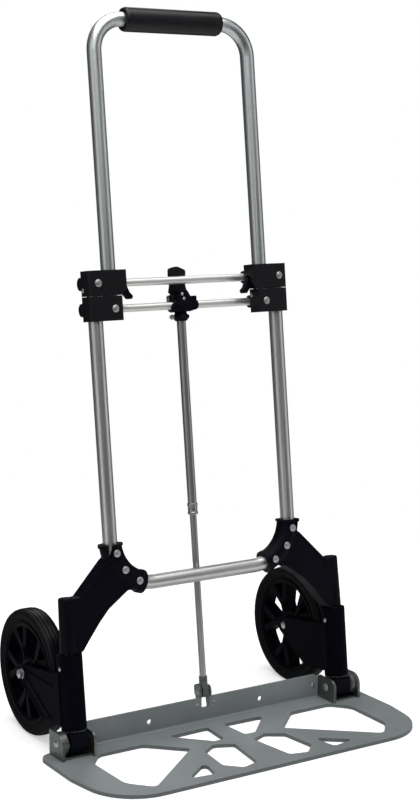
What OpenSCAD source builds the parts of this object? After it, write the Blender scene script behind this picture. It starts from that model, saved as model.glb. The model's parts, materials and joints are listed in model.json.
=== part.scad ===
// Folding hand truck. Millimetres, +X to its right, +Y to the back, +Z up.
// The floor is z = 0 and the origin is under the middle of its outline.

/* [Frame] */
// backward lean of the tube frame, degrees
lean = 6.5; // [4:0.5:8]
// distance of each lower tube from the centre plane
lower_x = 146.5; // [140:0.5:152]
// distance of each handle tube from the centre plane
upper_x = 122.5; // [117:0.5:126]
// outer diameter of both tubes
tube_d = 20; // [18:0.5:20.4]
// wall of both tubes
tube_wall = 1.5; // [1:0.1:2.5]
// height of the bottom cross tube along the frame
bottom_s = 221.5; // [215:0.5:228]
// bend radius of the lower tube
bend_r = 63; // [60:1:66]
// height of the handle bar along the frame
top_s = 987; // [960:1:1010]
// bend radius of the handle tube
top_bend_r = 44; // [36:1:46]
// length of the grip
grip_len = 154; // [130:1:156]
// diameter of the grip
grip_d = 33; // [28:0.5:36]

/* [Brackets] */
// height of the upper bracket's middle along the frame
upper_s = 634; // [633:0.5:640]
// height of the lower bracket's middle along the frame
lower_s = 599; // [590:0.5:599.5]
// crossbar diameter
bar_d = 11; // [9:0.5:11.4]
// crossbar distance behind the tube plane
bar_n = 16.4; // [16:0.1:18]

/* [Wheels] */
// wheel diameter
wheel_d = 178; // [172:1:178]
// wheel width
wheel_w = 28; // [24:0.5:29]
// distance of each wheel column from the centre plane
column_x = 219; // [217:0.5:222]
// distance of the wheel centre behind the origin of the frame
hub_y = 120; // [119:1:124]
// wheel plane's offset outward from its column
wheel_off = 1.5; // [1:0.1:2.2]

/* [Toe plate] */
// half width of the toe plate at the back
plate_hw = 264; // [262:1:270]
// reach of the toe plate to the front
plate_front = 174; // [165:1:180]
// thickness of the toe plate
plate_t = 5; // [4:0.1:5]
// height of the rear flange
flange_h = 40; // [36:0.5:40.5]
// height of the hinge axis along the frame
hinge_s = 24.2; // [24:0.1:24.6]

/* [Hidden] */
$fn = 64;
tube_r = tube_d / 2;
bar_r = bar_d / 2;
wheel_r = wheel_d / 2;
// the model's own middle in Y: halfway between the plate's front and the wheels' back
y_mid = (hub_y + wheel_r - plate_front) / 2;
sl = sin(lean);
cl = cos(lean);
// wheel centre in frame coordinates: n behind the tube plane, s up along the tubes
hub_n = hub_y * cl - wheel_r * sl;
hub_s = hub_y * sl + wheel_r * cl;
// hinge axis of the toe plate in upright coordinates
hinge_y = hinge_s * sl;
hinge_z = hinge_s * cl;
flange_y = 20.8;
flange_t = 3;
// bevel teeth: 28 on the full circle of the plate's gear, 30 on the fork's
gear_plate = 28;
gear_fork = 30;
cone_plate = atan(gear_plate / gear_fork);
sleeve_r = 17.3;
mesh_h = sleeve_r * tan(cone_plate);
sleeve_top = 142;
barrel_top = 218;
column_r = 9;
// rod that links the handle to the toe plate
rod_n = 20.8;
rod_r = 4.75;
rod_tube_r = 6.35;
rod_bore_r = 4.8;
pin_dn = 22.5;
pin_ds = 25.6;
pin_s = hinge_s + pin_ds;

black = [0.07, 0.07, 0.075];
alu = [0.74, 0.75, 0.77];
steel = [0.55, 0.56, 0.58];
zinc = [0.42, 0.45, 0.42];
paint = [0.40, 0.44, 0.44];
rubber = [0.05, 0.05, 0.05];

// ---- placing ----

// moves the parts so that the origin is under the middle of the outline
module place() translate([0, -y_mid, 0]) children();
// frame coordinates: x, n (behind the tube plane), s (up along the tubes)
module framed() place() rotate([-lean, 0, 0]) children();
// both sides of a right-hand piece
module both() { children(); mirror([1, 0, 0]) children(); }
module left() mirror([1, 0, 0]) children();
// a cylinder along X from x0 to x1
module xcyl(r, x0, x1) translate([x0, 0, 0]) rotate([0, 90, 0]) cylinder(r = r, h = x1 - x0);
// a cylinder along the frame's normal from n0 to n1
module ncyl(r, n0, n1) translate([0, n0, 0]) rotate([-90, 0, 0]) cylinder(r = r, h = n1 - n0);
// an outline in x and s, extruded along n
module nslab(n0, n1) translate([0, n1, 0]) rotate([90, 0, 0]) linear_extrude(n1 - n0) children();
// an outline in n and s, extruded along x
module xslab(x0, x1) translate([x0, 0, 0]) rotate([90, 0, 90]) linear_extrude(x1 - x0) children();
// a low domed rivet head, its base on z = 0
module dome(r, h) intersection() {
  translate([0, 0, h - (r * r + h * h) / (2 * h)]) sphere(r = (r * r + h * h) / (2 * h), $fn = 40);
  cylinder(r = r + 1, h = h + 1);
}

// points of an outline whose corners are rounded: P corners, R radii
function unit(v) = v / norm(v);
function corner(a, b, c, r, m) =
  let (u = unit(a - b), v = unit(c - b), half = acos(u * v) / 2,
       ctr = b + unit(u + v) * r / sin(half),
       s = b + u * r / tan(half) - ctr, e = b + v * r / tan(half) - ctr,
       a0 = atan2(s[1], s[0]), a1 = atan2(e[1], e[0]), da = (a1 - a0 + 540) % 360 - 180)
  [for (k = [0 : m]) ctr + r * [cos(a0 + da * k / m), sin(a0 + da * k / m)]];
function rounded(P, R, m = 6) = let (L = len(P))
  [for (i = [0 : L - 1])
    each (R[i] == 0 ? [P[i]] : corner(P[(i + L - 1) % L], P[i], P[(i + 1) % L], R[i], m))];
function rbox(x0, y0, x1, y1, r) = rounded([[x0, y0], [x1, y0], [x1, y1], [x0, y1]], [r, r, r, r], 4);

// ---- tubes ----

// half of a U: a leg at x, a bend of radius R and half of the cross part, all in the tube plane
module half_u(x, s_cross, s_end, R, up, r) {
  z1 = s_cross + up * R;
  translate([x, 0, min(z1, s_end)]) cylinder(r = r, h = abs(s_end - z1));
  translate([x - R, 0, z1]) rotate([90, 0, 0])
    rotate_extrude(angle = -up * 90) translate([R, 0]) circle(r = r);
  translate([0, 0, s_cross]) xcyl(r, 0, x - R);
}
module u_tube(x, s_cross, s_end, R, up) difference() {
  both() half_u(x, s_cross, s_end, R, up, tube_r);
  both() half_u(x, s_cross, s_end + up, R, up, tube_r - tube_wall);
}

// rivet places along the lower bend, as angles from the leg
rivet_angles = [13.5, 38, 63];
module at_bend(a) translate([lower_x - bend_r + bend_r * cos(a), 0, bottom_s + bend_r - bend_r * sin(a)])
  children();

module lower_frame_tube() color(alu) framed() difference() {
  u_tube(lower_x, bottom_s, upper_s + 13, bend_r, 1);
  both() for (a = rivet_angles) at_bend(a) ncyl(2.5, -12, 12);
  both() translate([lower_x, 0, upper_s]) ncyl(2.5, -12, 12);
}

module handle_tube() color(alu) framed() difference() {
  u_tube(upper_x, top_s, lower_s - 14, top_bend_r, -1);
  both() translate([upper_x, 0, lower_s]) ncyl(2.5, -12, 12);
}

module handle_grip() color(black) framed() translate([0, 0, top_s]) difference() {
  rotate([0, 90, 0]) rotate_extrude() polygon([
    [0, -grip_len / 2], [grip_d / 2 - 4.5, -grip_len / 2], [grip_d / 2 - 1.3, 1.3 - grip_len / 2],
    [grip_d / 2, 4.5 - grip_len / 2], [grip_d / 2, grip_len / 2 - 4.5],
    [grip_d / 2 - 1.3, grip_len / 2 - 1.3], [grip_d / 2 - 4.5, grip_len / 2], [0, grip_len / 2]]);
  xcyl(tube_r, -grip_len, grip_len);
}

// ---- brackets and crossbars ----

bracket_front = -15.5;
bracket_back = 10;
bracket_end = lower_x + 14;
latch_x = 105.5;
latch_s = upper_s - 4.6;

// block of a bracket from x0 outward, with a round boss for the crossbar behind it
module bracket_block(x0, s0, s1, bar_s) {
  translate([0, 0, s0]) linear_extrude(s1 - s0) polygon(rounded(
    [[x0, bracket_front], [bracket_end, bracket_front], [bracket_end, bracket_back],
     [x0, bracket_back]], [4, 8, 1.8, 1.8]));
  translate([0, bar_n, bar_s]) xcyl(9, x0 + 3, lower_x + 11.5);
}
module bar_hole(bar_s) translate([0, bar_n, bar_s]) xcyl(bar_r + 0.03, 60, lower_x + 10.6);

module upper_bracket() color(black) framed() difference() {
  bracket_block(102, upper_s - 17, upper_s + 17, upper_s);
  translate([lower_x, 0, upper_s - 18]) cylinder(r = tube_r + 0.05, h = 31.1);
  translate([upper_x, 0, upper_s - 18]) cylinder(r = tube_r + 0.35, h = 36);
  translate([lower_x, 0, upper_s]) ncyl(2.52, -20, 0);
  bar_hole(upper_s);
  // slot of the latch lever, open to the inside and below
  translate([95, -6.3, upper_s - 18]) cube([16, 11, 19.4]);
  // bevelled corner below it
  nslab(-20, 12) polygon([[101, upper_s - 8.5], [101, upper_s - 18], [110, upper_s - 18],
    [108, upper_s - 12]]);
  translate([latch_x, 0, latch_s]) ncyl(2.03, -13, 9);
  translate([lower_x, 5, upper_s - 9]) xcyl(1.52, 9.9, 20);
}
module upper_bracket_right() upper_bracket();
module upper_bracket_left() left() upper_bracket();

module lower_bracket() color(black) framed() difference() {
  bracket_block(110, lower_s - 16, lower_s + 17.3, lower_s);
  translate([lower_x, 0, lower_s - 18]) cylinder(r = tube_r + 0.35, h = 36);
  translate([upper_x, 0, lower_s - 14.1]) cylinder(r = tube_r + 0.05, h = 36);
  translate([upper_x, 0, lower_s]) ncyl(2.52, -20, 0);
  bar_hole(lower_s);
  translate([100, 5, lower_s + 9]) xcyl(1.52, 9, 12.8);
}
module lower_bracket_right() lower_bracket();
module lower_bracket_left() left() lower_bracket();

module upper_crossbar() color(alu) framed() translate([0, bar_n, upper_s])
  xcyl(bar_r, -lower_x - 10, lower_x + 10);
module lower_crossbar() color(alu) framed() translate([0, bar_n, lower_s])
  xcyl(bar_r, -lower_x - 10, lower_x + 10);

// a rivet through a tube: domed head in front, shank back to n1
module front_rivet(n0, n1) {
  translate([0, n0, 0]) rotate([90, 0, 0]) difference() {
    dome(5.2, 1.6);
    translate([0, 0, 1]) cylinder(r = 1.5, h = 2);
  }
  ncyl(2.5, n0, n1);
}
module upper_bracket_rivets() color(steel) framed() both()
  translate([lower_x, 0, upper_s]) front_rivet(bracket_front, 9.4);
module lower_bracket_rivets() color(steel) framed() both()
  translate([upper_x, 0, lower_s]) front_rivet(bracket_front, 9.4);

// small clamp screws of the crossbars, seen on the brackets' end faces
module upper_bar_screws() color(steel) framed() both() translate([bracket_end, 5, upper_s - 9]) {
  xcyl(1.5, -4, 0);
  rotate([0, 90, 0]) difference() { dome(3.2, 1.6); translate([-0.4, -3, 0.9]) cube([0.8, 6, 2]); }
}
module lower_bar_screws() color(steel) framed() both() translate([110, 5, lower_s + 9]) {
  xcyl(1.5, 0, 2.7);
  rotate([0, -90, 0]) difference() { dome(3.2, 1.6); translate([-0.4, -3, 0.9]) cube([0.8, 6, 2]); }
}

// ---- latches ----

module latch_lever() color(black) framed() difference() {
  translate([latch_x, 0, latch_s]) nslab(-5.3, 3.7) {
    circle(r = 4.6);
    polygon(rounded([[4, -3.5], [0.5, 5], [-6, 3], [-11.5, -9.5], [-16.5, -14.5], [-14.5, -18.5],
      [-9.5, -18.5], [-2, -9.5]], [1.5, 2, 2, 4, 1.8, 1.5, 2, 3], 4));
  }
  translate([latch_x, 0, latch_s]) ncyl(2.04, -13, 9);
}
module latch_lever_right() latch_lever();
module latch_lever_left() left() latch_lever();
module latch_pins() color(steel) framed() both()
  translate([latch_x, 0, latch_s]) ncyl(2, -12.5, 8.5);

// ---- carrier of the rod and its paddle, on the lower crossbar ----

paddle_n = 25.5;
paddle_s = lower_s + 10;

module carrier() color(black) framed() difference() {
  union() {
    translate([0, bar_n, lower_s]) xcyl(9.2, -13, 13);
    // body in front and above, with the cover that the two screws hold
    nslab(8, 23) polygon(rounded([[-11, lower_s - 8], [11, lower_s - 8], [12, lower_s + 8],
      [5, lower_s + 21], [-5.5, lower_s + 21], [-12, lower_s + 8]], [3, 3, 5, 3, 3, 5]));
    // the paddle's ears
    both() xslab(13.6, 16.6) polygon(rounded([[14, lower_s - 4], [29.5, lower_s + 4],
      [30, lower_s + 14], [21, lower_s + 15], [12, lower_s + 4]], [2, 3, 3, 3, 2]));
    translate([0, bar_n, lower_s]) xcyl(8.4, -16.6, 16.6);
    translate([16.6, 0, lower_s + 3]) xslab(-1, 5) polygon(rbox(11, 0, 21, 9.5, 1.5));
    translate([15.5, bar_n, lower_s]) ncyl(7.4, -8.5, 6);
    translate([-14, bar_n, lower_s - 3]) ncyl(6.6, -8, 6);
    translate([0, rod_n, lower_s - 10]) cylinder(r = 8.4, h = 8);
  }
  translate([0, bar_n, lower_s]) xcyl(bar_r + 0.03, -40, 40);
  translate([0, rod_n, lower_s - 20]) cylinder(r = rod_tube_r + 0.03, h = 14);
  translate([0, paddle_n, paddle_s]) xcyl(2.03, -40, 40);
  // room for the paddle's foot
  translate([-13.5, 20, lower_s + 2]) cube([27, 12, 30]);
  for (p = [[-3, 15.5], [-0.5, 9]]) translate([p[0], 0, lower_s + p[1]]) ncyl(1.02, 0, 13);
}
module carrier_screws() color(steel) framed()
  for (p = [[-3, 15.5], [-0.5, 9]]) translate([p[0], 8, lower_s + p[1]]) {
    ncyl(1, 0, 4.8);
    rotate([90, 0, 0]) dome(2.3, 1.3);
  }
module release_paddle() color(black) framed() difference() {
  union() {
    nslab(24, 28) polygon(rounded([[-11, lower_s + 6], [11, lower_s + 6], [12, lower_s + 16.5],
      [14.6, lower_s + 18.5], [11.6, lower_s + 30], [13.4, lower_s + 42], [14, lower_s + 49],
      [0, lower_s + 55], [-13, lower_s + 52], [-13.4, lower_s + 42], [-11.6, lower_s + 30],
      [-14.6, lower_s + 18.5], [-12, lower_s + 16.5]],
      [2, 2, 0.6, 1.6, 30, 10, 4, 12, 4, 10, 30, 1.6, 0.6]));
    // thickened thumb pad with grip ribs
    nslab(24, 30) polygon(rounded([[-11.9, lower_s + 40], [12.2, lower_s + 40], [12.8, lower_s + 49],
      [0, lower_s + 53.5], [-11.7, lower_s + 50.5]], [3, 3, 4, 12, 4]));
    for (k = [0 : 3]) translate([-9.5, 29.5, lower_s + 41.5 + 2.6 * k]) cube([19, 1.2, 1]);
    translate([0, paddle_n, paddle_s]) xcyl(4.3, -13.2, 13.2);
  }
  translate([0, paddle_n, paddle_s]) xcyl(2.05, -40, 40);
}
module paddle_pin() color(steel) framed() translate([0, paddle_n, paddle_s]) {
  xcyl(2, -16.6, 16.6);
  both() translate([16.6, 0, 0]) rotate([0, 90, 0]) dome(3.2, 1.2);
}
module rod_collar() color(black) framed() translate([0, rod_n, lower_s]) difference() {
  rotate_extrude() polygon([[0, -22], [8.2, -22], [9.2, -20.5], [11.5, -16.5], [9, -12], [8.4, -10],
    [0, -10]]);
  translate([0, 0, -30]) cylinder(r = rod_tube_r + 0.03, h = 30);
  translate([0, 0, -16]) xcyl(1.83, -20, 20);
}
module collar_pin() color(steel) framed() translate([0, rod_n, lower_s - 16]) {
  xcyl(1.8, -13, 12);
  translate([-14.5, 0, 0]) rotate([0, 90, 0]) sphere(r = 3.6);
  translate([12, 0, 0]) rotate([0, 90, 0]) dome(3, 1.5);
}
rod_tube_s = 304;
rod_top_s = 361;
module rod_tube() color(steel) framed() translate([0, rod_n, 0]) difference() {
  translate([0, 0, rod_tube_s]) cylinder(r = rod_tube_r, h = lower_s - 6.5 - rod_tube_s);
  translate([0, 0, rod_tube_s - 1]) cylinder(r = rod_bore_r, h = lower_s - 12 - rod_tube_s);
  translate([0, 0, lower_s - 16]) xcyl(1.83, -20, 20);
}
module rod_ferrule() color(steel) framed() translate([0, rod_n, rod_tube_s]) difference() {
  rotate_extrude() polygon([[0, 0], [7, 0], [7.4, 1], [7.4, 3], [6.8, 4], [6.8, 11], [7.4, 12], [7.4, 15],
    [7, 16], [0, 16]]);
  translate([0, 0, -1]) cylinder(r = rod_tube_r + 0.02, h = 20);
}
module rod_inner() color(steel) framed() translate([0, rod_n, 0]) difference() {
  translate([0, 0, pin_s + 8.2]) cylinder(r = rod_r, h = rod_top_s - pin_s - 8.2);
  translate([0, 0, pin_s + 17]) ncyl(1.22, -20, 20);
}
// yoke at the rod's lower end: its slot lets the pin swing back while the rod stays straight
module rod_foot() color(zinc) framed() difference() {
  union() {
    xslab(-4.6, 4.6) translate([0, pin_s]) polygon(rbox(14.5, -8.2, 40, 8.2, 4));
    translate([0, rod_n, pin_s + 6]) cylinder(r = 6.1, h = 16);
  }
  xslab(-6, 6) translate([0, pin_s]) {
    translate([19.2 + 4.8, 0]) circle(r = 4.8);
    translate([37.4 - 4.8, 0]) circle(r = 4.8);
    translate([24, -4.8]) square([8.6, 9.6]);
  }
  translate([0, rod_n, pin_s + 8.2]) cylinder(r = rod_r + 0.02, h = 30);
  translate([0, rod_n, pin_s + 17]) ncyl(1.22, -20, 20);
}

// ---- side castings ----

module bend_arc(a0, a1, r) translate([lower_x - bend_r, 0, bottom_s + bend_r]) rotate([90, 0, 0])
  rotate_extrude(start = -a1, angle = a1 - a0) translate([bend_r, 0]) circle(r = r);

// outline of the gusset between the socket and the barrel; its inner side follows the bend
gusset_low = [[193, 159], [176, 180], [161, 196], [131, 216.5]];
module gusset() polygon(rounded(concat(
  [[152, 268], [202, 217], [column_x, 217], [column_x, 143.2], [205, 143.2]], gusset_low, [[122, 217.6]],
  [for (a = [58 : -9 : 13]) [lower_x - bend_r + bend_r * cos(a), bottom_s + bend_r - bend_r * sin(a)]]),
  [0, 5, 0, 0, 4, 30, 40, 40, 12, 0, 0, 0, 0, 0, 0, 0]));

module casting() color(black) framed() difference() {
  union() {
    bend_arc(2.5, 74, 15.5);
    bend_arc(2.5, 5.5, 17.4);
    bend_arc(68, 74, 16.5);
    for (a = rivet_angles) at_bend(a) ncyl(5.6, -16, 16);
    nslab(-11, 11) gusset();
    translate([column_x, 0, 143]) cylinder(r1 = 12.4, r2 = 10.4, h = barrel_top - 143 - 1.5);
    translate([column_x, 0, barrel_top - 1.5]) cylinder(r1 = 10.4, r2 = 9.2, h = 1.5);
    // thin rim along the outer and the lower edge
    nslab(-12.2, 12.2) polygon([[158, 261.9], [207, 212], [205, 210], [156, 260.5]]);
    nslab(-12.2, 12.2) polygon(concat([[203, 145.8]], gusset_low,
      [[132.4, 218.6], [162.8, 197.8], [178, 181.7], [195, 160.6], [205, 147.4]]));
  }
  bend_arc(-4, 94, tube_r + 0.05);
  translate([lower_x, 0, bottom_s + bend_r - 1]) cylinder(r = tube_r + 0.05, h = 40);
  translate([0, 0, bottom_s]) xcyl(tube_r + 0.05, 40, lower_x - bend_r + 1);
  for (a = rivet_angles) at_bend(a) ncyl(2.52, -30, 30);
  translate([column_x, 0, 140]) cylinder(r = column_r + 0.03, h = barrel_top - 148);
  // notch in the socket's mouth, on the outer side of its front
  nslab(-20, 0) translate([lower_x, 0]) polygon([[1.5, 283], [10.5, 283], [8, 263], [6, 263]]);
}
module casting_right() casting();
module casting_left() left() casting();

module casting_rivets() color(steel) framed() both() for (a = rivet_angles) at_bend(a) {
  front_rivet(-16, 16);
  translate([0, 16, 0]) rotate([-90, 0, 0]) dome(5.2, 1.6);
}

module column() color(steel) framed() translate([column_x, 0, 30.5])
  cylinder(r = column_r, h = barrel_top - 8.5 - 30.5);
module column_right() column();
module column_left() left() column();

// ---- hinge of the toe plate ----

knuckle_top = 36.6;
module knuckle() color(black) framed() translate([column_x, 0, 0]) difference() {
  union() {
    translate([0, 0, hinge_s]) xcyl(16, -13.2, 13.2);
    xslab(-13.2, 13.2) polygon(rbox(-15.8, hinge_s - 6, 15.8, knuckle_top, 2));
  }
  translate([-20, -20, knuckle_top]) cube([40, 40, 10]);
  translate([0, 0, 30.4]) cylinder(r = column_r + 0.03, h = 20);
  translate([0, 0, hinge_s]) xcyl(4.05, -30, 30);
}
module knuckle_right() knuckle();
module knuckle_left() left() knuckle();

// one straight bevel tooth along a cone's side; the cone opens along +Z from the origin
module bevel_tooth(half, a) rotate([0, 0, a]) rotate([0, half, 0]) translate([0, 0, 19.4])
  rotate([0, 0, 0]) linear_extrude(4) polygon([[-1.3, -1.05], [-1.3, 1.05], [0.55, 0.28], [0.55, -0.28]]);

module fork() color(black) framed() translate([column_x, 0, 0]) difference() {
  union() {
    translate([0, 0, hinge_s + mesh_h + 0.2])
      cylinder(r = sleeve_r, h = sleeve_top - hinge_s - mesh_h - 0.2);
    fork_arms();
  }
  translate([0, 0, 20]) cylinder(r = column_r + 0.05, h = 140);
  translate([wheel_off, hub_n, hub_s]) xcyl(4.02, -40, 40);
  // rivet holes with a small flat seat for each head
  both() translate([0, -1.5, 124]) xcyl(1.52, 12, 30);
  both() translate([sleeve_r - 0.6, -5.5, 120]) cube([6, 8, 8]);
  // the wheel's room between the cheeks
  translate([wheel_off, hub_n, hub_s]) xcyl(wheel_r + 2.5, -wheel_w / 2 - 0.9, wheel_w / 2 + 0.9);
}
module cheek_outline() {
  polygon([[0, 47.5], [0, 119.5], [17, 117.8], [hub_n + 1, hub_s + 13], [hub_n + 9, hub_s - 9.4],
    [58, 47.5]]);
  translate([hub_n, hub_s]) circle(r = 13);
}
// a straight rib on a cheek, from a to b in n and s
module cheek_rib(a, b, w) let (d = unit(b - a), p = [-d[1], d[0]] * w / 2)
  polygon([a + p, b + p, b - p, a - p]);
module fork_arms() {
  t = wheel_w / 2 + 0.9;
  translate([wheel_off, 0, 0]) {
    xslab(t, t + 3) cheek_outline();
    xslab(-t - 3, -t) cheek_outline();
    // web behind the sleeve, in front of the tyre
    xslab(-t - 1, t + 1) polygon([[0, 47.5], [0, 119.5], [14, 118], [20, 110], [20, 60], [14, 47.5]]);
    // ribs of the outer cheek
    xslab(t + 3, t + 4.4) {
      cheek_rib([hub_n, hub_s + 12], [20, 116.2], 2);
      cheek_rib([hub_n + 5, hub_s - 11.2], [52, 48.5], 2);
      cheek_rib([hub_n - 12, hub_s - 6], [30, 52], 2);
      cheek_rib([hub_n - 12, hub_s + 4], [22, 98], 2);
    }
    translate([0, hub_n, hub_s]) xcyl(11, t + 3, t + 4.4);
  }
}
module fork_right() fork();
module fork_left() left() fork();

// bevel gear ring under the fork's sleeve
gear_low = 13.2;
module fork_gear() color(zinc) framed() translate([column_x, 0, hinge_s]) difference() {
  union() {
    translate([0, 0, gear_low]) cylinder(r1 = gear_low / tan(cone_plate) - 1.5,
      r2 = mesh_h / tan(cone_plate) - 1.5 + 0.2, h = mesh_h + 0.2 - gear_low);
    intersection() {
      for (k = [0 : gear_fork - 1]) bevel_tooth(90 - cone_plate, -(k + 0.5) * 360 / gear_fork);
      translate([0, 0, gear_low]) cylinder(r = sleeve_r, h = mesh_h + 0.2 - gear_low);
    }
  }
  cylinder(r = column_r + 0.05, h = 40);
}
module fork_gear_right() fork_gear();
module fork_gear_left() left() fork_gear();

module fork_rivets() color(steel) framed() translate([column_x, -1.5, 124]) both() {
  xcyl(1.5, 12.6, 17);
  translate([sleeve_r - 0.6, 0, 0]) rotate([0, 90, 0]) dome(3.4, 1.4);
}
module fork_rivet_right() fork_rivets();
module fork_rivet_left() left() fork_rivets();

axle_out = wheel_off + wheel_w / 2 + 0.9 + 4.4;
axle_in = wheel_off - wheel_w / 2 - 0.9 - 3;
module axle() color(steel) framed() translate([column_x, hub_n, hub_s]) {
  xcyl(4, axle_in, axle_out + 4);
  translate([axle_in, 0, 0]) rotate([0, -90, 0]) dome(5.5, 1.4);
}
module axle_right() axle();
module axle_left() left() axle();
module axle_nut() color(steel) framed() translate([column_x + axle_out, hub_n, hub_s]) rotate([0, 90, 0])
  difference() {
    union() {
      cylinder(r = 6.8, h = 0.8);
      translate([0, 0, 0.8]) cylinder(r = 6.2, h = 4.6, $fn = 6);
      translate([0, 0, 5.4]) dome(5, 2);
    }
    translate([0, 0, -1]) cylinder(r = 4.02, h = 5.02);
  }
module axle_nut_right() axle_nut();
module axle_nut_left() left() axle_nut();

// ---- wheels ----

module at_wheel() framed() translate([column_x + wheel_off, hub_n, hub_s]) rotate([0, 90, 0]) children();

module tyre() color(rubber) at_wheel() difference() {
  rotate_extrude() polygon([[wheel_r - 17.5, -11], [wheel_r - 13, -11.5], [wheel_r - 9, -wheel_w / 2 + 0.2],
    [wheel_r - 6, -wheel_w / 2], [wheel_r - 2.2, -wheel_w / 2 + 1.3], [wheel_r - 0.7, -wheel_w / 2 + 4],
    [wheel_r, -6], [wheel_r, 6], [wheel_r - 0.7, wheel_w / 2 - 4], [wheel_r - 2.2, wheel_w / 2 - 1.3],
    [wheel_r - 6, wheel_w / 2], [wheel_r - 9, wheel_w / 2 - 0.2], [wheel_r - 13, 11.5],
    [wheel_r - 17.5, 11]]);
  // tread grooves
  for (z = [-8, -3, 3, 8]) translate([0, 0, z - 0.7]) difference() {
    cylinder(r = wheel_r + 1, h = 1.4);
    translate([0, 0, -1]) cylinder(r = wheel_r - 2.4, h = 4);
  }
}
module rim() color(black) at_wheel() difference() {
  union() {
    rotate_extrude() polygon([[wheel_r - 24, -10.5], [wheel_r - 20, -12.5], [wheel_r - 17.6, -12.5],
      [wheel_r - 17.6, 12.5], [wheel_r - 20, 12.5], [wheel_r - 24, 10.5]]);
    translate([0, 0, -wheel_w / 2 + 0.2]) cylinder(r = 13.5, h = wheel_w - 0.4);
    translate([0, 0, -8]) cylinder(r = 22, h = 16);
    // five forked spokes
    for (k = [0 : 4]) rotate([0, 0, 72 * k + 20]) {
      translate([0, 0, -10.2]) linear_extrude(20.4) polygon([[10, -5.5], [38, -6], [38, 6], [10, 5.5]]);
      for (m = [-1, 1]) translate([0, 0, -10.2]) linear_extrude(20.4)
        polygon([[33, m * -2], [wheel_r - 22, m * 13], [wheel_r - 22, m * 25], [33, m * 6]]);
      translate([0, 0, -12]) linear_extrude(24) polygon([[18, -1.2], [36, -1.2], [36, 1.2], [18, 1.2]]);
    }
  }
  translate([0, 0, -50]) cylinder(r = 4.06, h = 100);
  for (z = [8.5, -12.5]) translate([0, 0, z]) difference() {
    cylinder(r = 19, h = 4); translate([0, 0, -1]) cylinder(r = 15, h = 6);
  }
}
module tyre_right() tyre();
module tyre_left() left() tyre();
module rim_right() rim();
module rim_left() left() rim();

// ---- toe plate ----

flange_hw = 197.2;
hole_x = 93;
hole_z = 20.5;

module plate_outline() polygon(rounded(
  [[-plate_hw, 24], [-plate_hw, -70], [-plate_hw + 16, -plate_front], [plate_hw - 16, -plate_front],
   [plate_hw, -70], [plate_hw, 24]], [18, 60, 76, 76, 60, 18], 12));
// openings of the right half
module plate_cuts() {
  polygon(rounded([[76, -62], [124, -14], [192, -14], [214, -40], [212, -122], [184, -154]],
    [5, 16, 16, 22, 24, 8]));
  polygon(rounded([[13, -4], [80, -6], [34, -55], [17, -55]], [4, 4, 5, 5]));
  polygon(rounded([[16, -78], [42, -66], [66, -82], [72, -136], [52, -157], [26, -150]],
    [5, 9, 5, 6, 7, 7]));
  polygon(rounded([[88, -116], [134, -152], [96, -157]], [5, 4, 5]));
}
module toe_plate() color(paint) place() difference() {
  union() {
    difference() {
      linear_extrude(plate_t) plate_outline();
      translate([0, 0, -1]) linear_extrude(plate_t + 2) both() plate_cuts();
      // behind the flange the plate stops
      translate([-flange_hw, flange_y + flange_t, -1]) cube([2 * flange_hw, 20, 20]);
    }
    // the flange and its bend
    translate([-flange_hw, flange_y, 0]) cube([2 * flange_hw, flange_t, flange_h - 4]);
    translate([0, flange_y + flange_t, 0]) rotate([90, 0, 0]) linear_extrude(flange_t)
      polygon(rounded([[-flange_hw, 4], [flange_hw, 4], [flange_hw, flange_h], [-flange_hw, flange_h]],
        [1, 1, 9, 9]));
    difference() {
      translate([-flange_hw, flange_y - 3, plate_t]) cube([2 * flange_hw, 3.2, 3]);
      translate([0, flange_y - 3, plate_t + 3]) xcyl(3, -flange_hw - 1, flange_hw + 1);
    }
  }
  both() translate([hole_x, 0, hole_z]) rotate([-90, 0, 0]) cylinder(r = 3.6, h = 60);
  both() translate([188, 0, 24]) rotate([-90, 0, 0]) cylinder(r = 2.02, h = 60);
  both() translate([13.8, 0, 30]) rotate([-90, 0, 0]) cylinder(r = 1.52, h = 60);
  // notch that the rod's yoke drops through as the plate folds
  translate([-7, flange_y - 5, 25]) cube([14, 12, 30]);
}
module flange_rivets() color(steel) place() both() {
  translate([188, flange_y, 24]) {
    rotate([90, 0, 0]) dome(3.6, 1.6);
    ncyl(2, 0, 3);
  }
  translate([13.8, flange_y, 30]) {
    rotate([90, 0, 0]) dome(2.8, 1.2);
    ncyl(1.5, 0, 5.4);
  }
}

// outer face of the outer ear, measured from the column
ear_out = 28.4;
// ears of the hinge, riveted to the plate's back corner; the outer ear carries the bevel teeth
module hinge_bracket() color(zinc) place() difference() {
  union() {
    translate([0, hinge_y, hinge_z]) {
      xslab(column_x - 21.4, column_x - 17.8) polygon(rounded([[-22, plate_t - hinge_z],
        [8, plate_t - hinge_z], [8, 14.5], [-22, 14.5]], [0, 0, 5, 11]));
      xcyl(16, column_x + sleeve_r + 0.3, column_x + ear_out - 3.9);
      xslab(column_x + ear_out - 4, column_x + ear_out) polygon(rounded([[-19, plate_t - hinge_z],
        [20, plate_t - hinge_z], [20, 16.5], [-19, 16.5]], [0, 0, 3, 16]));
      // root cone and teeth of the plate's bevel gear
      translate([column_x, 0, 0]) rotate([0, 90, 0]) {
        translate([0, 0, 13.9]) cylinder(r1 = 13.9 * tan(cone_plate) - 1.5,
          r2 = (sleeve_r + 0.4) * tan(cone_plate) - 1.5, h = sleeve_r + 0.4 - 13.9);
        intersection() {
          rotate([0, 0, 180 - lean]) for (k = [-1 : 8]) bevel_tooth(cone_plate, k * 360 / gear_plate);
          translate([0, 0, 13.9]) cylinder(r = 30, h = sleeve_r + 0.4 - 13.9);
        }
      }
    }
    translate([column_x - 21.4, hinge_y - 14.6, plate_t]) cube([21.4 + ear_out, 22.5, 2.2]);
  }
  translate([0, hinge_y, hinge_z]) xcyl(4.03, 150, 260);
}
module hinge_bracket_right() hinge_bracket();
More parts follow.
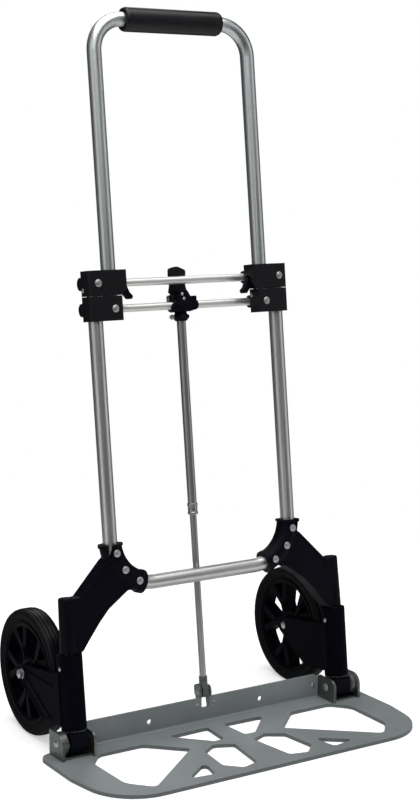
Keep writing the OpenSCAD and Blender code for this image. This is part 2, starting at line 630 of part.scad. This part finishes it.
module hinge_bracket_left() left() hinge_bracket();
module hinge_pins() color(steel) place() both() translate([column_x, hinge_y, hinge_z]) {
  xcyl(4, -21.4, ear_out);
  translate([-21.4, 0, 0]) rotate([0, -90, 0]) dome(6.2, 2.4);
  translate([ear_out, 0, 0]) rotate([0, 90, 0]) dome(6.2, 2.4);
}

// pin of the rod, in upright coordinates at rest
pin_y = rod_pin_n() * cl + pin_s * sl;
pin_z = pin_s * cl - rod_pin_n() * sl;
function rod_pin_n() = pin_dn;
module clevis() color(zinc) place() difference() {
  both() union() {
    xslab(6.6, 9.6) polygon(rounded([[flange_y + flange_t, 14], [flange_y + flange_t, 40.3],
      [flange_y - 0.4, 40.3], [flange_y - 0.4, 47], [23, 55], [31, 55.5], [35, 48], [33, 36], [27, 14]],
      [0.3, 0.3, 0.3, 4, 4, 5, 5, 10, 3]));
    translate([8.6, flange_y + flange_t, 14]) cube([10.4, 2.4, 22]);
  }
  translate([0, pin_y, pin_z]) xcyl(3.02, -20, 20);
  both() translate([13.8, 0, 30]) rotate([-90, 0, 0]) cylinder(r = 1.52, h = 60);
}
module clevis_pin() color(steel) place() translate([0, pin_y, pin_z]) {
  xcyl(3, -9.6, 9.6);
  both() translate([9.6, 0, 0]) rotate([0, 90, 0]) dome(4.6, 2);
}

lower_frame_tube();
handle_tube();
handle_grip();
upper_bracket_left();
upper_bracket_right();
lower_bracket_left();
lower_bracket_right();
upper_crossbar();
lower_crossbar();
upper_bracket_rivets();
lower_bracket_rivets();
upper_bar_screws();
lower_bar_screws();
latch_lever_left();
latch_lever_right();
latch_pins();
carrier();
release_paddle();
paddle_pin();
carrier_screws();
rod_collar();
collar_pin();
rod_tube();
rod_ferrule();
rod_inner();
rod_foot();
casting_left();
casting_right();
casting_rivets();
column_left();
column_right();
knuckle_left();
knuckle_right();
fork_left();
fork_right();
fork_gear_left();
fork_gear_right();
fork_rivet_left();
fork_rivet_right();
axle_left();
axle_right();
axle_nut_left();
axle_nut_right();
rim_left();
rim_right();
tyre_left();
tyre_right();
toe_plate();
hinge_bracket_left();
hinge_bracket_right();
hinge_pins();
flange_rivets();
clevis();
clevis_pin();
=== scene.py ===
import json
import math

import bmesh
import bpy
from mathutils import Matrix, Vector


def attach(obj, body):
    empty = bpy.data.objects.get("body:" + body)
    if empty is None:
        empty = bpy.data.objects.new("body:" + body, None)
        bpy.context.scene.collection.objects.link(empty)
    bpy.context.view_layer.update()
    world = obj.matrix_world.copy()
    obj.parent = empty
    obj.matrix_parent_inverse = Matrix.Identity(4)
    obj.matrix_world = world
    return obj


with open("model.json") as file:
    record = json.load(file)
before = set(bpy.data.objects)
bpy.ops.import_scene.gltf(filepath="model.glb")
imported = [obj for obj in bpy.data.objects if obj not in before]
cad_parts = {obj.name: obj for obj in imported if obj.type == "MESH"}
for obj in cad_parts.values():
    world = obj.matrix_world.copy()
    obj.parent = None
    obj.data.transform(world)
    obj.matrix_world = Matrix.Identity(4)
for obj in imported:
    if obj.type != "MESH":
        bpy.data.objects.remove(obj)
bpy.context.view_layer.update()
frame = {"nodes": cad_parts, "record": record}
NODES = frame["nodes"]

# how far the tube frame leans back from upright
LEAN = math.radians(6.5)


# ---- node helpers ----

class Graph:
    """A material under construction, with short calls for its nodes."""

    def __init__(self, name):
        self.mat = bpy.data.materials.new(name)
        self.mat.use_nodes = True
        self.tree = self.mat.node_tree
        self.tree.nodes.clear()
        output = self.new("OutputMaterial")
        self.shader = self.new("BsdfPrincipled")
        self.link(self.shader.outputs[0], output.inputs["Surface"])
        self.coords = self.new("TexCoord").outputs["Object"]

    def new(self, kind):
        return self.tree.nodes.new("ShaderNode" + kind)

    def link(self, a, b):
        self.tree.links.new(a, b)

    def feed(self, socket, value):
        """Links a node's output to the socket, or sets a constant on the socket itself."""
        if hasattr(value, "is_linked"):
            self.link(value, socket)
        elif hasattr(value, "__len__") and len(value) < len(socket.default_value):
            socket.default_value = (*value, 1)
        else:
            socket.default_value = value

    def set(self, **values):
        """Feeds the shader's sockets, which are named with _ for each space."""
        for key, value in values.items():
            self.feed(self.shader.inputs[key.replace("_", " ")], value)

    def turn(self, rotation=(0, 0, 0), scale=(1, 1, 1)):
        """The piece's coordinates, turned first and scaled after."""
        turned = self.new("Mapping")
        self.feed(turned.inputs["Rotation"], rotation)
        self.link(self.coords, turned.inputs["Vector"])
        scaled = self.new("Mapping")
        self.feed(scaled.inputs["Scale"], scale)
        self.link(turned.outputs[0], scaled.inputs["Vector"])
        return scaled.outputs[0]

    def noise(self, scale, coords=None, detail=4, rough=0.55, distort=0.0):
        n = self.new("TexNoise")
        self.feed(n.inputs["Scale"], scale)
        self.feed(n.inputs["Detail"], detail)
        self.feed(n.inputs["Roughness"], rough)
        self.feed(n.inputs["Distortion"], distort)
        self.link(coords or self.coords, n.inputs["Vector"])
        return n.outputs["Fac"]

    def cells(self, scale, feature="F1", out="Distance"):
        n = self.new("TexVoronoi")
        n.feature = feature
        self.feed(n.inputs["Scale"], scale)
        self.link(self.coords, n.inputs["Vector"])
        return n.outputs[out]

    def ramp(self, fac, stops):
        """A colour ramp whose stops are (position, grey or colour)."""
        n = self.new("ValToRGB")
        elements = n.color_ramp.elements
        while len(elements) < len(stops):
            elements.new(0.5)
        for element, (position, colour) in zip(elements, stops):
            element.position = position
            grey = not hasattr(colour, "__len__")
            element.color = (colour, colour, colour, 1) if grey else (*colour, 1)
        self.link(fac, n.inputs[0])
        return n.outputs[0]

    def rise(self, fac, low, high, top=1):
        """0 up to low, then evenly up to top at high."""
        return self.ramp(fac, [(low, 0), (high, top)])

    def mix(self, fac, a, b, kind="MIX"):
        n = self.new("Mix")
        n.data_type = "RGBA"
        n.blend_type = kind
        # a Mix node's colour sockets are its seventh and eighth
        for socket, value in ((n.inputs[0], fac), (n.inputs[6], a), (n.inputs[7], b)):
            self.feed(socket, value)
        return n.outputs[2]

    def math(self, operation, a, b=0.0, clamp=False):
        n = self.new("Math")
        n.operation = operation
        n.use_clamp = clamp
        self.feed(n.inputs[0], a)
        self.feed(n.inputs[1], b)
        return n.outputs[0]

    def times(self, a, b):
        return self.math("MULTIPLY", a, b)

    def add(self, a, b):
        return self.math("ADD", a, b)

    def axis(self, which, coords=None):
        n = self.new("SeparateXYZ")
        self.link(coords or self.coords, n.inputs[0])
        return n.outputs["XYZ".index(which)]

    def steepness(self, which):
        """How squarely the surface faces along that axis of the piece's own frame, 0 to 1."""
        normal = self.new("TexCoord").outputs["Normal"]
        return self.math("ABSOLUTE", self.axis(which, normal))

    def rounded(self, radius):
        """The surface normal with every edge rounded to that radius, in metres."""
        n = self.new("Bevel")
        n.samples = 4
        self.feed(n.inputs["Radius"], radius)
        return n.outputs[0]

    def edges(self, radius):
        """How much the surface turns nearby: 0 on flats, 1 at sharp edges."""
        n = self.new("VectorMath")
        n.operation = "DOT_PRODUCT"
        self.link(self.rounded(radius), n.inputs[0])
        self.link(self.new("NewGeometry").outputs["Normal"], n.inputs[1])
        return self.math("SUBTRACT", 1.0, n.outputs["Value"], clamp=True)

    def bump(self, height, distance, strength, edge_radius=0.0):
        """Bump from a height, over edges rounded to edge_radius; returns the material."""
        n = self.new("Bump")
        self.feed(n.inputs["Strength"], strength)
        self.feed(n.inputs["Distance"], distance)
        self.link(height, n.inputs["Height"])
        if edge_radius:
            self.link(self.rounded(edge_radius), n.inputs["Normal"])
        self.link(n.outputs[0], self.shader.inputs["Normal"])
        return self.mat


def shade(colour, k):
    return [c * k for c in colour]


# ---- materials ----

def streaks(g, along, fine=1.0):
    """Noise drawn out along the leaning tubes (along "s") or along X (along "x")."""
    narrow, wide = 900 * fine, 260 * fine
    narrow_length, wide_length = 9, 2.2
    if along == "s":
        thin = g.turn((LEAN, 0, 0), (narrow, narrow, narrow_length))
        broad = g.turn((LEAN, 0, 0), (wide, wide, wide_length))
    else:
        thin = g.turn((0, 0, 0), (narrow_length, narrow, narrow))
        broad = g.turn((0, 0, 0), (wide_length, wide, wide))
    return g.mix(0.45, g.noise(1, thin, 3), g.noise(1, broad, 2))


def aluminium(name, leg_x=None, tint=(0.82, 0.825, 0.83), rough=0.33, contrast=0.8):
    """Drawn aluminium: streaks along it, faint rubbing marks, warm patches and a dulled film.

    A bent tube gives leg_x, beyond which its legs run, so that the streaks turn with it.
    """
    g = Graph(name)
    streak = streaks(g, "x")
    if leg_x:
        leg = g.ramp(g.math("ABSOLUTE", g.axis("X")), [(0.0, 0), (leg_x, 0), (leg_x + 0.03, 1)])
        streak = g.mix(leg, streak, streaks(g, "s"))
    film = g.noise(16, detail=5, rough=0.6)
    rub = g.rise(g.noise(46, g.turn((LEAN, 0.5, 0.3), (1.0, 1.0, 0.16)), 8, 0.72), 0.56, 0.66)
    warm = g.rise(g.noise(7, detail=3, rough=0.6), 0.40, 0.66)

    base = g.mix(g.rise(streak, 0.32, 0.68), shade(tint, 1 - 0.20 * contrast), tint)
    base = g.mix(g.rise(film, 0.38, 0.72, 0.38), base, shade(tint, 1 - 0.26 * contrast))
    base = g.mix(g.times(rub, 0.30), base, (0.93, 0.93, 0.94))
    base = g.mix(g.times(warm, 0.16), base, (0.90, 0.88, 0.74))
    if leg_x:
        # painted shade and light: the tubes are darker low down and lighter higher up, with a
        # faint cool tint at the top
        tone = g.ramp(g.axis("Z"), [
            (0.20, (0.86, 0.86, 0.855)), (0.34, (0.97, 0.97, 0.96)),
            (0.60, (0.97, 0.98, 0.97)), (0.66, (0.955, 1.0, 1.0)),
        ])
        base = g.mix(1.0, base, tone, "MULTIPLY")

    roughness = g.add(g.times(streak, 0.16), rough - 0.06)
    roughness = g.add(roughness, g.times(film, 0.07))
    g.set(Base_Color=base, Metallic=1.0, Roughness=roughness, Anisotropic=0.35)
    return g.bump(streak, 0.00004, 0.55)


def black_moulding(name, tone=0.0026, rough=0.44, shine=0.08, blue=2.6):
    """Glass-filled black nylon: fine spark-eroded grain, paler flow marks and rubbed edges.

    tone is how light it is, and blue how much stronger its blue is than its red and green.
    """
    g = Graph(name)
    fine = g.noise(2300, detail=2)
    peel = g.noise(420, detail=3)
    flow = g.noise(22, g.turn((0.4, 0.2, 0.1), (1, 1, 0.35)), 6, 0.6, 0.6)
    dust = g.rise(g.noise(70, detail=8, rough=0.72), 0.55, 0.74)
    patchy = g.ramp(g.noise(140, detail=5), [(0.40, 0.1), (0.62, 1)])
    wear = g.times(g.rise(g.edges(0.0011), 0.05, 0.30), patchy)

    dark, light = 0.6 * tone, 1.1 * tone
    base = g.mix(g.rise(flow, 0.35, 0.7), (dark, dark, dark * blue), (light, light, light * blue))
    base = g.mix(g.times(dust, 0.22), base, (0.012, 0.013, 0.018))
    base = g.mix(g.times(wear, 0.35), base, (0.045, 0.046, 0.052))

    roughness = g.add(g.times(fine, 0.14), rough - 0.10)
    roughness = g.add(roughness, g.times(flow, 0.12))
    roughness = g.add(roughness, g.times(dust, 0.10))
    g.set(Base_Color=base, Roughness=roughness, Specular_IOR_Level=shine,
          Specular_Tint=(0.86, 0.88, 1.0))
    return g.bump(g.mix(0.4, fine, peel), 0.00005, 0.8, 0.0009)


def plated(name, tint, rough, stain=(0.30, 0.29, 0.26), stained=0.35):
    """Zinc-plated steel: crystalline mottling, faint stains and a worn edge."""
    g = Graph(name)
    spangle = g.new("RGBToBW")
    g.link(g.cells(420, out="Color"), spangle.inputs[0])
    spangle = spangle.outputs[0]
    cloud = g.noise(90, detail=6, rough=0.65)
    wear = g.rise(g.edges(0.0006), 0.06, 0.35)

    base = g.mix(g.times(spangle, 0.35), tint, [min(1, c) for c in shade(tint, 1.22)])
    base = g.mix(g.times(g.rise(cloud, 0.45, 0.72), stained), base, stain)
    base = g.mix(g.times(wear, 0.6), base, (0.86, 0.86, 0.85))

    roughness = g.add(g.times(cloud, 0.24), rough - 0.08)
    roughness = g.add(roughness, g.times(spangle, 0.06))
    g.set(Base_Color=base, Metallic=1.0, Roughness=roughness)
    return g.bump(cloud, 0.00008, 0.5, 0.0003)


def rod_steel(name):
    """Ground steel rod: streaks along it and a darker oxide film in places."""
    g = Graph(name)
    tint = (0.52, 0.52, 0.51)
    streak = streaks(g, "s", 0.8)
    film = g.noise(34, g.turn((LEAN, 0, 0), (1, 1, 0.3)), 6, 0.62)

    base = g.mix(g.rise(streak, 0.3, 0.7), shade(tint, 0.78), shade(tint, 1.15))
    base = g.mix(g.rise(film, 0.45, 0.70, 0.55), base, (0.20, 0.195, 0.19))

    roughness = g.add(g.times(film, 0.20), 0.28)
    g.set(Base_Color=base, Metallic=1.0, Roughness=roughness)
    return g.bump(streak, 0.00003, 0.5)


def powder_coat(name):
    """Grey-green powder coat: orange peel, scuffs from loads, bare bright nicks on the edges."""
    g = Graph(name)
    tint = (0.240, 0.262, 0.268)
    peel = g.noise(900, detail=2)
    broad = g.noise(9, detail=5, rough=0.6)
    # two sets of scuffs, drawn out at different angles across the plate
    scuff = g.rise(g.noise(30, g.turn((0, 0, 0.5), (1, 0.09, 1)), 9, 0.75), 0.575, 0.66)
    scuff2 = g.rise(g.noise(26, g.turn((0, 0, -0.9), (1, 0.07, 1)), 9, 0.75), 0.60, 0.67)
    patchy = g.rise(g.noise(75, detail=7, rough=0.7), 0.50, 0.60)
    nick = g.times(g.rise(g.edges(0.0014), 0.10, 0.42), patchy)
    # painted shade: the upright walls of the openings and the rim, below the plate's top, are
    # darkened in colour
    upright = g.math("LESS_THAN", g.steepness("Z"), 0.5)
    plate_top = 0.0052
    painted_shade_wall = g.times(upright, g.math("LESS_THAN", g.axis("Z"), plate_top))

    base = g.mix(g.rise(broad, 0.35, 0.7), shade(tint, 0.92), shade(tint, 1.10))
    base = g.mix(g.times(g.rise(peel, 0.45, 0.6), 0.10), base, shade(tint, 1.5))
    base = g.mix(g.times(g.mix(0.5, scuff, scuff2), 0.26), base, (0.40, 0.42, 0.415))
    # painted shade darkens the upright walls
    base = g.mix(g.times(painted_shade_wall, 0.62), base, (0.055, 0.062, 0.064))
    base = g.mix(g.times(nick, 0.40), base, (0.46, 0.47, 0.46))

    roughness = g.add(g.times(peel, 0.10), 0.34)
    roughness = g.add(roughness, g.times(broad, 0.10))
    g.set(Base_Color=base, Roughness=roughness, Metallic=0.12, Specular_IOR_Level=0.55)
    return g.bump(peel, 0.00006, 0.6, 0.0007)


def grip_foam(name):
    """Soft black grip: pebble grain, pressed-in shine where hands hold it."""
    g = Graph(name)
    grain = g.cells(1500, feature="SMOOTH_F1")
    fine = g.noise(3000, detail=2)
    hold = g.noise(18, detail=5)
    dust = g.rise(g.noise(120, detail=8, rough=0.75), 0.56, 0.72)

    base = g.mix(g.rise(hold, 0.35, 0.7), (0.0045, 0.005, 0.006), (0.010, 0.0105, 0.0125))
    base = g.mix(g.times(dust, 0.25), base, (0.035, 0.036, 0.039))

    roughness = g.add(g.times(hold, 0.20), 0.25)
    g.set(Base_Color=base, Roughness=roughness, Specular_IOR_Level=0.34)
    return g.bump(g.mix(0.5, grain, fine), 0.00012, 0.6)


def tyre_rubber(name):
    """Black rubber tyre: dusty, with a tread rubbed smoother than its dull, grained walls."""
    g = Graph(name)
    fine = g.noise(1600, detail=3)
    dust = g.noise(60, detail=8, rough=0.7)
    wall = g.rise(g.steepness("X"), 0.35, 0.70)

    base = g.mix(g.rise(dust, 0.42, 0.74), (0.0013, 0.0013, 0.0026), (0.0042, 0.0042, 0.0062))

    roughness = g.add(g.times(dust, 0.24), g.add(g.times(wall, 0.48), 0.24))
    g.set(Base_Color=base, Roughness=roughness, Specular_IOR_Level=0.16)
    return g.bump(g.mix(0.5, fine, dust), 0.0001, 0.6, 0.0005)


# the finish of each material slot of the record
MATS = {
    "tube": aluminium("tube_aluminium", leg_x=0.085),
    "bar": aluminium("bar_aluminium", rough=0.46, tint=(0.90, 0.89, 0.875), contrast=0.35),
    "bracket": black_moulding("black_moulding"),
    "steel": plated("bright_steel", (0.47, 0.47, 0.48), 0.38),
    "rod": rod_steel("rod_steel"),
    "zinc": plated("zinc_plate", (0.172, 0.190, 0.176), 0.38, (0.100, 0.106, 0.094), 0.6),
    "plate": powder_coat("powder_coat"),
    "grip": grip_foam("grip_foam"),
    "rim": black_moulding("rim_moulding", 0.0016, 0.50, 0.03),
    "tyre": tyre_rubber("tyre_rubber"),
}

# painted light: the bracket pairs and the paddle get a greyer, shinier copy of the black moulding,
# for the light their upward-leaning faces catch
PAINTED_LIGHT_BRACKET_MAT = black_moulding("bracket_moulding_painted_light", 0.0090, 0.46, 0.22, 1.15)
# painted shade: the forks get a darker, duller copy of the black moulding, so their faces turned
# to the side lamp stay dark
PAINTED_SHADE_FORK_MAT = black_moulding("fork_moulding_painted_shade", 0.0020, 0.62, 0.035)
OWN_MATS = {
    "upper_bracket_left": PAINTED_LIGHT_BRACKET_MAT,
    "upper_bracket_right": PAINTED_LIGHT_BRACKET_MAT,
    "lower_bracket_left": PAINTED_LIGHT_BRACKET_MAT,
    "lower_bracket_right": PAINTED_LIGHT_BRACKET_MAT,
    "release_paddle": PAINTED_LIGHT_BRACKET_MAT,
    "fork_left": PAINTED_SHADE_FORK_MAT,
    "fork_right": PAINTED_SHADE_FORK_MAT,
}

for part in frame["record"]["subparts"]:
    materials = NODES[part["node"]].data.materials
    materials.clear()
    materials.append(OWN_MATS.get(part["node"], MATS[part["material_slot"]]))


# ---- rear edges of the inner hinge ears ----

# the hinge pin's place and the middle of the ear's sheet, in metres
HINGE_Y = -0.01476
HINGE_Z = 0.02404
EAR_X = 0.1994
# a little thinner than the ear, so that the shared part lies inside it
TAB_THICK = 0.0034
# ends of the tab, measured from the pin: front, back, top, and just above the plate
TAB_FRONT = 0.001
TAB_BACK = 0.020
TAB_TOP = 0.0145
TAB_LOW = 0.0051 - HINGE_Z
TAB_CORNER = 0.004
TAB_BEVEL = 0.0004


def hinge_tab(name, side):
    """The inner ear's rear part, which runs back past the flange's end (side -1 left, 1 right)."""
    outline = [(TAB_FRONT, TAB_LOW), (TAB_BACK, TAB_LOW)]
    for turn in [math.radians(15 * k) for k in range(7)]:
        outline.append((TAB_BACK - TAB_CORNER + TAB_CORNER * math.cos(turn),
                        TAB_TOP - TAB_CORNER + TAB_CORNER * math.sin(turn)))
    outline.append((TAB_FRONT, TAB_TOP))

    x = EAR_X * side - 0.5 * TAB_THICK
    bm = bmesh.new()
    face = bm.faces.new([bm.verts.new((x, HINGE_Y + y, HINGE_Z + z)) for y, z in outline])
    grown = bmesh.ops.extrude_face_region(bm, geom=[face])["geom"]
    far_side = [v for v in grown if isinstance(v, bmesh.types.BMVert)]
    bmesh.ops.translate(bm, vec=(TAB_THICK, 0, 0), verts=far_side)
    bmesh.ops.recalc_face_normals(bm, faces=bm.faces)
    rims = [e for e in bm.edges if abs(e.verts[0].co.x - e.verts[1].co.x) < 1e-6]
    bmesh.ops.bevel(bm, geom=rims, offset=TAB_BEVEL, segments=2, affect="EDGES",
                    clamp_overlap=True)
    mesh = bpy.data.meshes.new(name)
    bm.to_mesh(mesh)
    bm.free()

    tab = bpy.data.objects.new(name, mesh)
    bpy.context.scene.collection.objects.link(tab)
    tab.data.materials.append(MATS["zinc"])
    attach(tab, "plate")


hinge_tab("hinge_tab_left", -1)
hinge_tab("hinge_tab_right", 1)


# ---- floor and surround ----

FLOOR_RADIUS = 1.6
# the floor lies just under the wheels and the plate
FLOOR_SINK = 0.0005
FLOOR_GLOW = 0.50
# the floor fades out between these distances from the object, in units of FADE_UNIT metres
FADE_UNIT = 2.5
FADE_START, FADE_END = 0.26, 0.56
# strength of the surround where it is seen directly, and where it lights or is mirrored
SEEN_STRENGTH = 1.0
LIT_STRENGTH = 0.04


def floor_mat():
    """Pale floor that fades out a little way from the object, into the pale surround."""
    g = Graph("studio_floor")
    tone = g.mix(g.noise(3, detail=2), (0.90, 0.90, 0.90), (0.92, 0.92, 0.92))
    g.set(Base_Color=tone, Roughness=0.9, Specular_IOR_Level=0.1, Emission_Color=(1, 1, 1))
    seen = g.new("LightPath").outputs["Is Camera Ray"]
    g.set(Emission_Strength=g.times(seen, FLOOR_GLOW))
    distance = g.new("VectorMath")
    distance.operation = "LENGTH"
    g.link(g.coords, distance.inputs[0])
    fade = g.times(distance.outputs["Value"], 1 / FADE_UNIT)
    g.set(Alpha=g.ramp(fade, [(FADE_START, 1), (FADE_END, 0)]))
    return g.mat


bpy.ops.mesh.primitive_circle_add(vertices=96, radius=FLOOR_RADIUS, fill_type="NGON",
                                  location=(0, 0, -FLOOR_SINK))
floor = bpy.context.object
floor.name = "floor"
floor.data.materials.append(floor_mat())

# pale surround where it is seen directly, dim where metal would mirror it
world = bpy.data.worlds.new("studio")
world.use_nodes = True
tree = world.node_tree
lit = tree.nodes["Background"]
lit.inputs["Color"].default_value = (0.92, 0.96, 1.0, 1)
lit.inputs["Strength"].default_value = LIT_STRENGTH
seen = tree.nodes.new("ShaderNodeBackground")
seen.inputs["Color"].default_value = (1, 1, 1, 1)
seen.inputs["Strength"].default_value = SEEN_STRENGTH
path = tree.nodes.new("ShaderNodeLightPath")
choose = tree.nodes.new("ShaderNodeMixShader")
tree.links.new(path.outputs["Is Camera Ray"], choose.inputs[0])
tree.links.new(lit.outputs[0], choose.inputs[1])
tree.links.new(seen.outputs[0], choose.inputs[2])
tree.links.new(choose.outputs[0], tree.nodes["World Output"].inputs[0])
bpy.context.scene.world = world
bpy.context.scene.view_settings.view_transform = "Standard"


# ---- lights ----

def soft_box(name, at, aim, width, height, power):
    """A rectangular area light that isn't seen itself."""
    light = bpy.data.lights.new(name, "AREA")
    light.shape = "RECTANGLE"
    light.size = width
    light.size_y = height
    light.energy = power
    box = bpy.data.objects.new(name, light)
    box.location = at
    box.rotation_euler = (Vector(aim) - Vector(at)).to_track_quat("-Z", "Y").to_euler()
    box.visible_camera = False
    bpy.context.scene.collection.objects.link(box)


# two tall boxes at the sides, a broad one above, a small one behind, and a wide one high in front,
# which lights mainly the upper tubes
soft_box("left_box", (-2.36, -0.41, 0.7), (0, 0, 0.7), 1.3, 3.6, 11.5)
soft_box("right_box", (1.95, -1.35, 0.7), (0, 0, 0.7), 1.3, 3.6, 11.5)
soft_box("top_box", (-0.2, -0.5, 3.2), (0, 0, 0), 3.2, 3.2, 96)
soft_box("back_box", (0.9, 2.6, 2.2), (0, 0, 0.4), 1.6, 1.6, 12)
soft_box("front_box", (-2.35, -3.7, 2.75), (0, 0, 0.9), 3.6, 1.2, 22)


# ---- camera ----

CAMERA_PLACE = (-1.158, -1.8405, 0.789)
CAMERA_DIRECTION = (0.5240, 0.8354, -0.1659)

lens = bpy.data.cameras.new("camera")
lens.sensor_fit = "VERTICAL"
lens.sensor_height = 36
lens.lens = 71.8
lens.shift_x = 0.0063
lens.shift_y = 0.0397
lens.clip_start = 0.05
lens.clip_end = 100
camera = bpy.data.objects.new("camera", lens)
camera.location = CAMERA_PLACE
camera.rotation_euler = Vector(CAMERA_DIRECTION).to_track_quat("-Z", "Y").to_euler()
bpy.context.scene.collection.objects.link(camera)
bpy.context.scene.camera = camera
